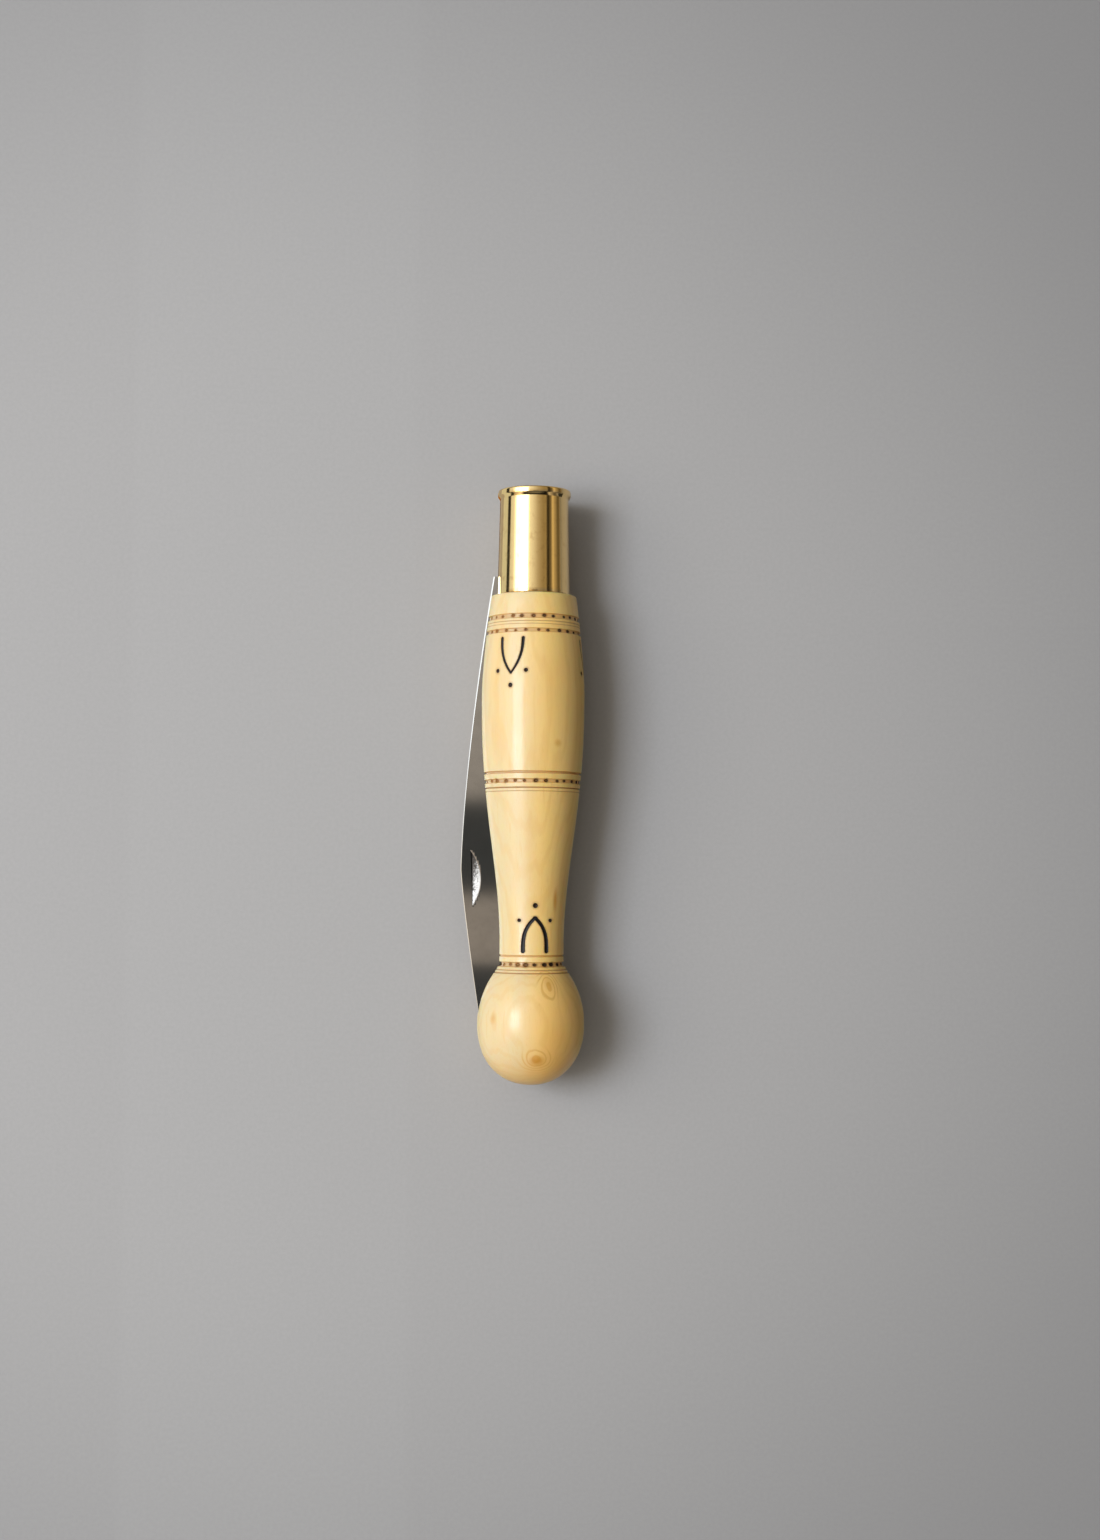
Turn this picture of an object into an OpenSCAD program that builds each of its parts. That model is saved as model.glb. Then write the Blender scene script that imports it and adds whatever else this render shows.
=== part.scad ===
// Folding pocket knife with a turned boxwood handle, a ball at its end, and a brass
// ferrule that turns to lock the blade. Shown closed.
// The handle's axis is the Y axis. The origin is the centre of the ferrule's end face,
// +Y points out of that face, the blade folds out on the -X side, and Z is up.
// Distances called "at" or "u" below run from the end face towards the ball.

/* [Handle] */
// Wood that shows, from the shoulder beside the ferrule to the end of the ball
wood_len = 98.5; // [90:0.5:110]
// How far the wood stands proud of the ferrule at the shoulder
shoulder_step = 1.3; // [0.8:0.1:2]
// Radius of the shoulder's rounded edge
shoulder_round = 0.35; // [0.1:0.05:0.5]
// Diameter at the widest place of the grip
belly_d = 20.95; // [18.5:0.05:23]
// From the shoulder to the widest place of the grip
belly_at = 19.5; // [17:0.1:26]
// Diameter at the waist above the ball
waist_d = 13.1; // [12.4:0.1:15]
// From the shoulder to the narrowest place
waist_at = 70.3; // [65:0.1:71]
// Diameter of the ball
ball_d = 21.6; // [19.5:0.1:24]
// From the ball's widest place to the end of the knife
ball_cap = 12.1; // [10.5:0.1:13.5]
// Half length of the ball's oval on the side of the waist
ball_back = 14.3; // [13.4:0.1:15.5]

/* [Neck and ferrules] */
// Length of the neck, from the ferrule's end face to the shoulder
neck_len = 21.6; // [20:0.1:24]
// Diameter of the wooden neck at its tip
neck_tip_d = 11.4; // [10.4:0.1:12]
// Diameter of the wooden neck at the shoulder
neck_base_d = 12.3; // [11.4:0.1:12.8]
// How far the neck and the fixed ferrule stay inside the end face
tip_recess = 0.2; // [0.1:0.1:0.6]
// Wall of the fixed ferrule, pressed on the neck
fixed_wall = 0.5; // [0.4:0.05:0.8]
// Wall of the turning ferrule
turning_wall = 0.7; // [0.5:0.05:1]
// Running clearance between the two ferrules
ferrule_gap = 0.06; // [0.04:0.01:0.1]
// Gap between the turning ferrule and the shoulder
shoulder_gap = 0.2; // [0.1:0.05:0.4]
// Thickness of the flange at the ferrule's tip
flange_t = 1.85; // [1:0.05:2.2]
// How far the flange stands out from the ferrule
flange_out = 0.45; // [0.3:0.05:0.9]
// From the end face to the middle of the bead that keeps the turning ferrule on
bead_at = 15.4; // [13.5:0.1:16]
// Width of the bead
bead_w = 0.9; // [0.6:0.1:1.1]
// Height of the bead
bead_h = 0.25; // [0.15:0.05:0.3]
// Clearance round the bead in its groove
bead_gap = 0.06; // [0.04:0.01:0.1]
// How far the ferrule turns to lock
lock_turn = 60; // [40:1:75]

/* [Blade] */
// Thickness of the blade
blade_t = 2; // [1.6:0.1:2.4]
// Gap on each side of the blade in the wood
slot_gap = 0.2; // [0.1:0.05:0.3]
// Gap on each side of the blade in the turning ferrule
split_gap = 0.25; // [0.15:0.05:0.4]
// Gap between the open blade's shoulders and the end face
open_gap = 0.5; // [0.3:0.05:1]
// How far the tip stays short of the end of the ball
tip_back = 9.05; // [7.5:0.05:11]
// Height of the blade's back above the handle's axis at the root
root_h = 8.2; // [7.8:0.1:9]
// Height of the back above the axis at its highest place
hump_h = 14.4; // [13:0.1:16]
// From the highest place of the back to the tip
hump_to_tip = 34; // [28:0.5:40]
// Height of the tip above the axis
tip_h = 9.7; // [9:0.1:10.1]
// Depth of the cutting edge below the axis at the heel
heel_depth = 4; // [3.4:0.1:4.2]
// Deepest place of the cutting edge below the axis
edge_depth = 4.6; // [4.2:0.1:5]
// From the pivot to the deepest place of the edge
edge_at = 45; // [35:0.5:55]
// Length of the unground part of the blade beyond the heel
ricasso = 2; // [1:0.1:4]
// Thickness left at the edge
edge_t = 0.3; // [0.2:0.05:0.5]
// Thickness left at the tip
tip_t = 1.5; // [0.8:0.05:1.6]
// Length of the nail nick
nick_len = 11.3; // [9:0.1:13]
// Width of the nail nick
nick_w = 1.9; // [1.4:0.1:2.3]
// Depth of the nail nick
nick_depth = 0.45; // [0.3:0.05:0.6]
// From the back's edge to the nail nick
nick_in = 2.3; // [1.8:0.05:3]

/* [Pivot] */
// From the end face to the pivot
pivot_at = 8.6; // [8:0.1:9.4]
// Diameter of the rivet
rivet_d = 2.5; // [2:0.1:3]
// Running clearance of the blade on the rivet
rivet_gap = 0.04; // [0.02:0.01:0.08]
// Wood left in the neck behind the floor of the slot
back_wall = 0.85; // [0.7:0.05:1.2]
// Gap between the open blade's tang and the turned ferrule that locks it
lock_gap = 0.1; // [0.05:0.05:0.3]
// How far the rivet's ends stay inside the fixed ferrule's surface
rivet_recess = 0.1; // [0.05:0.05:0.2]
// Gap between the tang and the floor of the slot
floor_gap = 0.1; // [0.05:0.05:0.3]
// Gap between the cutting edge and the floor of the slot
edge_gap = 0.8; // [0.6:0.1:1.2]

/* [Ornament] */
// Depth of the burnt arches and dots
burn_depth = 0.25; // [0.1:0.05:0.4]
// Width of the burnt lines
burn_w = 0.5; // [0.3:0.05:0.7]
// Radius of the burnt dots
dot_r = 0.45; // [0.3:0.05:0.6]
// Length of an upper arch
upper_arch_len = 7; // [5:0.1:9]
// Half width of an upper arch
upper_arch_half = 2.3; // [1.6:0.05:3]
// Length of a lower arch
lower_arch_len = 6.6; // [5:0.1:8]
// Half width of a lower arch
lower_arch_half = 2.35; // [1.6:0.05:3]

/* [Hidden] */
$fn = 96;
far = 40;                       // reach of a cut that must run past everything
skin = 1;                       // how far a surface cut starts outside the wood

belly_r = belly_d / 2;
waist_r = waist_d / 2;
ball_r = ball_d / 2;
end_u = neck_len + wood_len;
belly_u = neck_len + belly_at;
waist_u = neck_len + waist_at;
ball_u = end_u - ball_cap;

// Radii along the tapered neck: wood, fixed ferrule, turning ferrule inside and outside
function neck_r(u) = (neck_tip_d + (neck_base_d - neck_tip_d) * u / neck_len) / 2;
function fixed_r(u) = neck_r(u) + fixed_wall;
function bore_r(u) = fixed_r(u) + ferrule_gap;
function turning_r(u) = bore_r(u) + turning_wall;
shoulder_r = turning_r(neck_len) + shoulder_step;
flange_r = turning_r(flange_t) + flange_out;
rim_power = 2.6;                // squareness of the flange's rounded rim
function rim(a) = sign(a) * pow(abs(a), 2 / rim_power);

// Outline of the grip: a power curve up to the belly, then half a cosine wave that leans
// towards the waist
rise_power = 1.4;
fall_power = 1.24;
function grip_r(u) =
    u < belly_u
    ? belly_r - (belly_r - shoulder_r) * pow((belly_u - u) / belly_at, rise_power)
    : (belly_r + waist_r) / 2
      + (belly_r - waist_r) / 2 * cos(180 * pow((u - belly_u) / (waist_u - belly_u), fall_power));
// The ball: a half oval towards the waist and a fuller half oval at the end
cap_power = 2.15;
function oval(t, n) = pow(max(0, 1 - pow(t, n)), 1 / n);
function ball_back_r(u) = ball_r * oval(min(1, max(0, ball_u - u) / ball_back), 2);
function ball_cap_r(u) = ball_r * oval(min(1, (u - ball_u) / ball_cap), cap_power);
// Blend of the waist into the ball
blend_power = 12;
function waist_blend_r(u) =
    pow(pow(waist_r, blend_power) + pow(ball_back_r(u), blend_power), 1 / blend_power);
function body_r(u) = u < waist_u ? grip_r(u) : u < ball_u ? waist_blend_r(u) : ball_cap_r(u);
function steps(a, b, n) = [for (i = [0:n - 1]) a + (b - a) * i / n];

// Turned bands: [from the band's datum, width, depth] of each groove
shoulder_grooves = [[4.87, 1, 0.3], [5.92, 0.14, 0.1], [6.5, 0.1, 0.07], [7.77, 0.8, 0.28]];
middle_grooves = [[36.1, 0.5, 0.45], [37.8, 0.8, 0.3], [39.15, 0.3, 0.3], [39.85, 0.12, 0.1]];
ball_grooves = [[-13.8, 0.4, 0.22], [-12.1, 1, 0.4], [-11, 0.2, 0.14], [-10.4, 0.3, 0.22]];

// Burnt motifs: distance of the upper arches' open ends from the shoulder, of the lower
// ones' from the ball, and the angles of both round the handle from the blade's slot
upper_arch_at = 9.4;
lower_arch_at = -14.8;
upper_turns = [61, 175, 288];
lower_turns = [93, 273];
upper_bow = 2.5;
lower_bow = 3.15;
side_dot_in = 0.5;              // side dots' distance before the arch's apex
side_dot_off = 3.1;             // side dots' distance from the arch's middle line
tip_dot_out = 2.45;             // third dot's distance beyond the apex

// Blade: s runs along it from the pivot, h across it, positive towards its back
tip_u = end_u - tip_back;
blade_len = tip_u - pivot_at;
shoulder_s = pivot_at + open_gap;
heel_s = shoulder_s + 1.4;
hump_s = blade_len - hump_to_tip;
rivet_r = rivet_d / 2;
// The tang reaches from the slot's floor to the turning ferrule's bore, in both positions,
// so the pivot sits in the middle of that span, a little towards the slot's mouth
tang_back = neck_r(0) - back_wall - floor_gap;
tang_front = sqrt(pow(bore_r(0), 2) - pow(blade_t / 2, 2)) - lock_gap;
tang_r = (tang_front + tang_back) / 2;
pivot_x = (tang_back - tang_front) / 2;
back_power = 1.5;
drop_power = 1.2;
sweep_power = 2.4;
function back_h(s) =
    s < hump_s
    ? hump_h - (hump_h - root_h) * pow((hump_s - s) / (hump_s - shoulder_s), back_power)
    : hump_h - (hump_h - tip_h) * pow((s - hump_s) / hump_to_tip, drop_power);
function edge_h(s) =
    s < edge_at
    ? -edge_depth + (edge_depth - heel_depth) * pow((edge_at - s) / (edge_at - heel_s), 2)
    : -edge_depth + (edge_depth + tip_h) * pow((s - edge_at) / (blade_len - edge_at), sweep_power);
nick_s = hump_s + 1.8;          // middle of the nail nick
nick_lean = 2.5;                // the nick follows the back's fall to the tip
nick_wheel_r = (nick_len * nick_len / 4 + nick_depth * nick_depth) / (2 * nick_depth);
grind_h = 3.5;                  // height above the axis where the main grind starts
plunge_s = heel_s + ricasso;    // where the main grind ends beside the heel
// Half the tapered blade's thickness at the nick
nick_half = blade_t / 2 - (blade_t - tip_t) / 2 * (nick_s - plunge_s) / (blade_len - plunge_s);
tip_grind_len = 18;             // the tip's own grind follows the edge's chord this far back
tip_lean = atan((tip_h - edge_h(blade_len - tip_grind_len)) / tip_grind_len);
tip_drop = 0.5;                 // how far its line passes below the tip
tip_grind_w = 4.6;

// Slot in the wood: floor in the neck, under the edge, and a saw's arc out at the ball
slot_w = blade_t + 2 * slot_gap;
split_w = blade_t + 2 * split_gap;
floor_neck = tang_back + floor_gap;
floor_edge = edge_depth + edge_gap;
floor_drop_u = neck_len + 0.4;  // the floor leaves the neck's depth here
floor_low_u = neck_len + 13;    // and reaches its full depth here
arc_u = end_u - 52;             // start of the saw's arc
exit_u = tip_u + 2.5;           // where the slot runs out of the ball
exit_x = ball_cap_r(exit_u);
saw_r = (pow(exit_u - arc_u, 2) + pow(exit_x + floor_edge, 2)) / (2 * (exit_x + floor_edge));

// Relief beside the ferrule's split that lets it turn past the closed blade's root
relief_gap = 0.4;
relief_u = pivot_at + shoulder_s - relief_gap;
relief_turn = lock_turn + asin(split_w / 2 / bore_r(relief_u));

// Turns a shape drawn with its height along the axis so that it lies along the handle
module along_handle() { rotate([90, 0, 0]) children(); }

// A ring turned round the handle's axis from points [radius, distance from the end face]
module turned(points) { along_handle() rotate_extrude() polygon(points); }

// Wood outline from the neck's tip to the end of the ball
module wood_blank() {
    edge_c = [shoulder_r - shoulder_round, neck_len + shoulder_round];
    turned(concat(
        [[0, tip_recess], [neck_r(tip_recess), tip_recess], [neck_r(neck_len), neck_len]],
        [for (a = [-90:22.5:0]) edge_c + shoulder_round * [cos(a), sin(a)]],
        [for (u = steps(neck_len + 2 * shoulder_round, belly_u, 9)) [grip_r(u), u]],
        [for (u = steps(belly_u, waist_u, 18)) [grip_r(u), u]],
        [for (u = steps(waist_u, ball_u, 26)) [waist_blend_r(u), u]],
        [for (a = [0:6:84]) [ball_cap_r(ball_u + ball_cap * sin(a)), ball_u + ball_cap * sin(a)]],
        [[0, end_u]]
    ));
}

// One groove turned into the wood, with sloping sides where it is wide
module groove(at, width, depth) {
    slope = min(width / 2 - 0.01, 0.12);
    a = at - width / 2;
    b = at + width / 2;
    turned([
        [body_r(a) + skin, a], [body_r(a), a], [body_r(a) - depth, a + slope],
        [body_r(b) - depth, b - slope], [body_r(b), b], [body_r(b) + skin, b]
    ]);
}

// Pointed arch as a line of even width; the apex is at the origin and it opens along +y
module arch_line(len, half, bow) {
    function reach(t) = half * (1 - pow(1 - t, bow));
    n = 12;
    side = [for (i = [0:n]) let (t = pow(i / n, 1.5)) [reach(t), t * len]];
    for (m = [0, 1]) mirror([m, 0])
        polygon(concat(
            [for (p = side) p + [burn_w / 2, -burn_w / 4]],
            [for (i = [n:-1:0]) side[i] + [-burn_w / 2, burn_w / 4]]
        ));
}

// Arch with a dot on each side of its apex and one beyond it
module motif(len, half, bow) {
    arch_line(len, half, bow);
    for (m = [-1, 1]) translate([m * side_dot_off, side_dot_in]) circle(r = dot_r, $fn = 24);
    translate([0, -tip_dot_out]) circle(r = dot_r, $fn = 24);
}

// Thin layer of the wood's surface between two distances, which limits the burnt depth
module surface_layer(u0, u1) {
    n = 12;
    turned(concat(
        [for (i = [0:n]) let (u = u0 + (u1 - u0) * i / n) [body_r(u) - burn_depth, u]],
        [for (i = [n:-1:0]) let (u = u0 + (u1 - u0) * i / n) [body_r(u) + skin, u]]
    ));
}

// Burnt motifs at each angle; dir is 1 where the apex points to the ball and -1 where it
// points to the ferrule
module burnt_row(open_u, len, half, bow, turns, dir) {
    apex_u = open_u + dir * len;
    intersection() {
        surface_layer(min(open_u, apex_u) - 3, max(open_u, apex_u) + 3);
        for (turn = turns) rotate([0, turn - 90, 0])
            translate([0, -apex_u, 0]) linear_extrude(far)
                scale([1, dir]) motif(len, half, bow);
    }
}

module upper_arches() {
    burnt_row(neck_len + upper_arch_at, upper_arch_len, upper_arch_half, upper_bow, upper_turns, 1);
}

module lower_arches() {
    burnt_row(ball_u + lower_arch_at, lower_arch_len, lower_arch_half, lower_bow, lower_turns, -1);
}

// Plate-shaped cut in the blade's plane from an outline of [x, u] points
module plane_cut(points, width) {
    translate([0, 0, -width / 2]) linear_extrude(width)
        polygon([for (p = points) [p[0], -p[1]]]);
}

module blade_slot() {
    n = 14;
    plane_cut(concat(
        [[-far, -skin], [floor_neck, -skin], [floor_neck, floor_drop_u], [floor_edge, floor_low_u]],
        [for (i = [0:n]) let (u = arc_u + (exit_u - arc_u) * i / n)
            [floor_edge - saw_r + sqrt(saw_r * saw_r - pow(u - arc_u, 2)), u]],
        [[-far, exit_u]]
    ), slot_w);
}

// The rivet's hole or the rivet, square to the blade
module pivot_bar(r, half) { translate([pivot_x, -pivot_at, -half]) cylinder(r = r, h = 2 * half); }

module handle() {
    color("#e9cf98") difference() {
        wood_blank();
        for (g = shoulder_grooves) groove(neck_len + g[0], g[1], g[2]);
        for (g = middle_grooves) groove(neck_len + g[0], g[1], g[2]);
        for (g = ball_grooves) groove(ball_u + g[0], g[1], g[2]);
        upper_arches();
        lower_arches();
        blade_slot();
        pivot_bar(rivet_r, far);
    }
}

module fixed_ferrule() {
    a = bead_at - bead_w / 2 - bead_gap;
    b = bead_at + bead_w / 2 + bead_gap;
    color("#b8954a") difference() {
        turned([
            [neck_r(tip_recess), tip_recess], [fixed_r(tip_recess), tip_recess],
            [fixed_r(a), a], [fixed_r(a) - bead_h, a], [fixed_r(b) - bead_h, b], [fixed_r(b), b],
            [fixed_r(neck_len), neck_len], [neck_r(neck_len), neck_len]
        ]);
        plane_cut([[-far, -skin], [0, -skin], [0, neck_len + skin], [-far, neck_len + skin]], slot_w);
        pivot_bar(rivet_r, far);
    }
}

module turning_ferrule() {
    base_u = neck_len - shoulder_gap;
    a = bead_at - bead_w / 2;
    b = bead_at + bead_w / 2;
    color("#d9b45c") difference() {
        turned(concat(
            [[bore_r(0), 0]],
            [for (t = [-90:11.25:90])
                [flange_r + flange_out * (rim(cos(t)) - 1), flange_t / 2 * (1 + rim(sin(t)))]],
            [[turning_r(base_u), base_u], [bore_r(base_u), base_u]],
            [[bore_r(b), b], [bore_r(b) - bead_h, b - ferrule_gap]],
            [[bore_r(a) - bead_h, a + ferrule_gap], [bore_r(a), a]]
        ));
        plane_cut([[-far, -skin], [0, -skin], [0, neck_len], [-far, neck_len]], split_w);
        ferrule_relief();
    }
}

// Sector cut at the ferrule's base, on the side that comes over the blade's root
module ferrule_relief() {
    n = 6;
    along_handle() translate([0, 0, relief_u]) linear_extrude(neck_len - relief_u)
        polygon(concat(
            [[0, 0]],
            [for (i = [0:n]) let (t = relief_turn * i / n) far * [-cos(t), -sin(t)]]
        ));
}

// Blade seen from the side, level with its pivot, the tip towards -y
module blade_outline() {
    n = 26;
    back = [for (i = [0:n]) let (s = shoulder_s + (blade_len - shoulder_s) * i / n) [-back_h(s), -s]];
    edge = [for (i = [n - 1:-1:0]) let (s = heel_s + (blade_len - heel_s) * i / n) [-edge_h(s), -s]];
    tang = [for (a = [0:15:180]) [pivot_x + tang_r * cos(a), tang_r * sin(a)]];
    polygon(concat(tang, [[-tang_front, -shoulder_s]], back, edge, [[tang_back, -heel_s]]));
}

// Thins the blade evenly from the ricasso to the tip
module distal_taper() {
    half = blade_t / 2;
    side = [[tang_r + skin, half], [-plunge_s, half], [-blade_len - skin, tip_t / 2]];
    translate([-far, 0, 0]) rotate([90, 0, 90]) linear_extrude(2 * far)
        polygon(concat(side, [for (i = [2:-1:0]) [side[i][0], -side[i][1]]]));
}

// Flat ground face that meets the blade's middle plane along a line through the point
// at = [s, h]; lean turns that line towards the back
module grind(at, lean, width, behind) {
    slope = (blade_t - edge_t) / 2 / width;
    over = edge_t / 2 / slope;
    translate([-at[1], -at[0], 0]) rotate([0, 0, -lean]) translate([0, behind, 0])
        rotate([90, 0, 0]) linear_extrude(blade_len + behind)
            polygon([[-width, blade_t / 2], [over, 0], [over, blade_t], [-width, blade_t]]);
}

// Nail nick cut by a coned wheel: a straight wall beside the back, running out in an arc
module nail_nick() {
    translate([nick_in - back_h(nick_s), -nick_s, nick_half + nick_wheel_r - nick_depth])
        rotate([0, 0, nick_lean]) rotate([0, 90, 0])
            cylinder(r1 = nick_wheel_r, r2 = nick_wheel_r - nick_depth, h = nick_w);
}

module blade() {
    color("#c9cdd0") translate([0, -pivot_at, 0]) difference() {
        intersection() {
            translate([0, 0, -blade_t / 2]) linear_extrude(blade_t) blade_outline();
            distal_taper();
        }
        for (m = [0, 1]) mirror([0, 0, m]) {
            grind([plunge_s, -edge_depth], 0, edge_depth + grind_h, 0);
            grind([blade_len, tip_h - tip_drop], tip_lean, tip_grind_w, blade_len / 3);
        }
        translate([pivot_x, 0, 0]) cylinder(r = rivet_r + rivet_gap, h = far, center = true);
        nail_nick();
    }
}

module pivot_rivet() {
    half = sqrt(pow(fixed_r(pivot_at), 2) - pow(rivet_r - pivot_x, 2)) - rivet_recess;
    color("#8f8a80") pivot_bar(rivet_r, half);
}

handle();
fixed_ferrule();
turning_ferrule();
blade();
pivot_rivet();
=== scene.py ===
import math
import bmesh
import bpy
import numpy as np
from mathutils import Matrix, Vector


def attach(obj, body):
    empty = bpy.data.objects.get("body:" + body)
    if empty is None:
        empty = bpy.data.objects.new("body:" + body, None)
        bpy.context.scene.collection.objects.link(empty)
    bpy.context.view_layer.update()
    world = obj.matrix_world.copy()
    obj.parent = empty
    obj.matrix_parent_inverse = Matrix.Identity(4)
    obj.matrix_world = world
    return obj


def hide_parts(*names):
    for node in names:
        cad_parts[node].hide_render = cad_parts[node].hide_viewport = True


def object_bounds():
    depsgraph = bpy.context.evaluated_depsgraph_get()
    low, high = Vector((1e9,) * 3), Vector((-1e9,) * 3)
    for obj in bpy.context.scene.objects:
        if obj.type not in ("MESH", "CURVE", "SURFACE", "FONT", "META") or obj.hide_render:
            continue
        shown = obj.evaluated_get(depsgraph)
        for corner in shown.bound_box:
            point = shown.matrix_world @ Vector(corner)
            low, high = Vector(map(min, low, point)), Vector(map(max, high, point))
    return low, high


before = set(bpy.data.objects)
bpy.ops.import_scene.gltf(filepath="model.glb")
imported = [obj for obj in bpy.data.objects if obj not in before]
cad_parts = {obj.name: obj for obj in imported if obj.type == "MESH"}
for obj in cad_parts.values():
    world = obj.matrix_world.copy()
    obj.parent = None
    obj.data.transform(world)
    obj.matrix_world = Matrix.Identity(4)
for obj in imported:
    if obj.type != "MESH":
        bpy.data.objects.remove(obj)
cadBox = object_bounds()
print("frame loaded")

# Lengths below are in millimetres: u runs from the ferrule's end face to the ball, along -Y.
# Angles round the handle are in degrees, 0 at +Z (the side seen) and 90 at +X.
mm = 0.001


def rgb(red, green, blue):
    # Colour from 0-255 sRGB values to the linear colour that Blender's sockets take
    channels = [value / 255 for value in (red, green, blue)]
    linear = [c / 12.92 if c <= 0.04045 else ((c + 0.055) / 1.055) ** 2.4 for c in channels]
    return (*linear, 1.0)


# Shared dimensions of the turned wood, the ferrules and the blade

form = {
    "neckLen": 21.6,
    "neckTipR": 5.7,
    "neckBaseR": 6.15,
    "tipRecess": 0.2,
    "fixedWall": 0.5,
    "turningWall": 0.7,
    "ferruleGap": 0.06,
    "shoulderStep": 1.3,
    "shoulderRound": 0.35,
    "bellyR": 10.475,
    "bellyU": 41.1,
    "bellyRise": 19.5,
    "waistR": 6.55,
    "waistU": 91.9,
    "ballR": 10.79,
    "ballU": 108.0,
    "ballBack": 14.3,
    "ballCap": 12.1,
    "pivotU": 8.6,
    "pivotX": -0.66481,
    "rivetR": 1.25,
}
upperGrooves = [(4.87, 1.0, 0.3), (5.92, 0.14, 0.1), (6.5, 0.1, 0.07), (7.77, 0.8, 0.28)]
middleGrooves = [(36.1, 0.5, 0.45), (37.8, 0.8, 0.3), (39.15, 0.3, 0.3), (39.85, 0.12, 0.1)]
ballGrooves = [(-13.8, 0.4, 0.22), (-12.1, 1.0, 0.4), (-11.0, 0.2, 0.14), (-10.4, 0.3, 0.22)]
grooves = [(form["neckLen"] + c, w, d) for c, w, d in upperGrooves + middleGrooves]
grooves += [(form["ballU"] + c, w, d) for c, w, d in ballGrooves]

# Rows of burnt marks: distance u, number round the handle, angle of the first, half width
# round the handle, half length along it, depth, and a phase for their irregularity
markRows = [
    {"rowU": 26.47, "count": 26, "first": -3.9, "w": 0.37, "l": 0.28, "depth": 0.2, "phase": 0.4},
    {"rowU": 29.37, "count": 26, "first": 2.0, "w": 0.36, "l": 0.27, "depth": 0.2, "phase": 2.1},
    {"rowU": 59.4, "count": 28, "first": 1.0, "w": 0.39, "l": 0.3, "depth": 0.2, "phase": 3.3},
    {"rowU": 95.9, "count": 22, "first": 4.0, "w": 0.48, "l": 0.34, "depth": 0.22, "phase": 5.2},
]

# Burnt arches: apex distance u, which way along u they open (-1 towards the ferrule), the
# angle of the first, angle between them, how many, length, half width, bow and half widths
# of the stroke
arches = {
    "upper": {"apex": 38.0, "opens": -1, "first": -29, "turn": 113.5, "count": 3, "len": 7.0,
              "half": 2.3, "bow": 2.5, "thin": 0.23, "thick": 0.34, "dot": 0.42, "tipDot": 0.47},
    "lower": {"apex": 86.6, "opens": 1, "first": 3, "turn": 180, "count": 2, "len": 6.6,
              "half": 2.35, "bow": 3.15, "thin": 0.35, "thick": 0.43, "dot": 0.38, "tipDot": 0.52},
}
sideDotIn = 0.5
sideDotOff = 3.1
tipDotOut = 2.45


def smooth(x):
    # Smooth step from 0 to 1
    x = np.clip(x, 0, 1)
    return x * x * (3 - 2 * x)


def neckR(u):
    # Radius of the tapered wooden neck
    return form["neckTipR"] + (form["neckBaseR"] - form["neckTipR"]) * u / form["neckLen"]


def boreR(u):
    # Radius of the turning ferrule's bore
    return neckR(u) + form["fixedWall"] + form["ferruleGap"]


def turningR(u):
    # Outside radius of the turning ferrule's wall
    return boreR(u) + form["turningWall"]


def oval(t, power):
    # Quarter of a superellipse, 1 at t = 0 and 0 at t = 1
    return np.maximum(0, 1 - np.clip(t, 0, 1) ** power) ** (1 / power)


def bodyR(u):
    # Outline of the grip: a power curve up to the belly, a leaning half cosine down to the
    # waist, a blend into the oval back of the ball, and the fuller oval of its end
    belly, waist, ball = form["bellyR"], form["waistR"], form["ballR"]
    shoulder = turningR(form["neckLen"]) + form["shoulderStep"]
    climb = np.clip((form["bellyU"] - u) / form["bellyRise"], 0, 2) ** 1.4
    rise = belly - (belly - shoulder) * climb
    turn = np.clip((u - form["bellyU"]) / (form["waistU"] - form["bellyU"]), 0, 1) ** 1.24
    fall = (belly + waist) / 2 + (belly - waist) / 2 * np.cos(math.pi * turn)
    back = ball * oval((form["ballU"] - u) / form["ballBack"], 2)
    blend = (waist ** 12 + back ** 12) ** (1 / 12)
    cap = ball * oval((u - form["ballU"]) / form["ballCap"], 2.15)
    grip = np.where(u < form["bellyU"], rise, fall)
    return np.where(u < form["waistU"], grip, np.where(u < form["ballU"], blend, cap))


def bodyAt(u):
    return float(bodyR(np.array(u)))


def grooveDepth(u):
    # Depth of the turned bands: flat floors with sides that turn over softly
    depth = np.zeros_like(u)
    for centre, width, deep in grooves:
        side = min(width / 2, 0.16) + 0.03
        depth += deep * smooth((width / 2 + 0.03 - np.abs(u - centre)) / side)
    return depth


def around(radius, u, angle):
    # Point at a radius, a distance u and an angle in degrees round the handle's axis
    turn = np.radians(angle)
    return np.stack(np.broadcast_arrays(radius * np.sin(turn), -u, radius * np.cos(turn)), -1)


# Mesh tools

def gridFaces(rows, columns, wrap):
    # Quads between neighbouring rows and columns; wrap joins the last column to the first
    row = np.arange(rows - 1)[:, None]
    column = np.arange(columns if wrap else columns - 1)[None, :]
    near = row * columns + column
    beside = row * columns + (column + 1) % columns
    quads = np.stack([near, beside, beside + columns, near + columns], -1)
    return quads.reshape(-1, 4).tolist()


def capped(points):
    # Closed skin over rows of rings, with one flat face at each end. Returns the points and
    # the faces.
    rows, columns = points.shape[:2]
    a = np.arange(columns)
    ends = [a[::-1].tolist(), (a + (rows - 1) * columns).tolist()]
    return points.reshape(-1, 3), gridFaces(rows, columns, True) + ends


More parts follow.
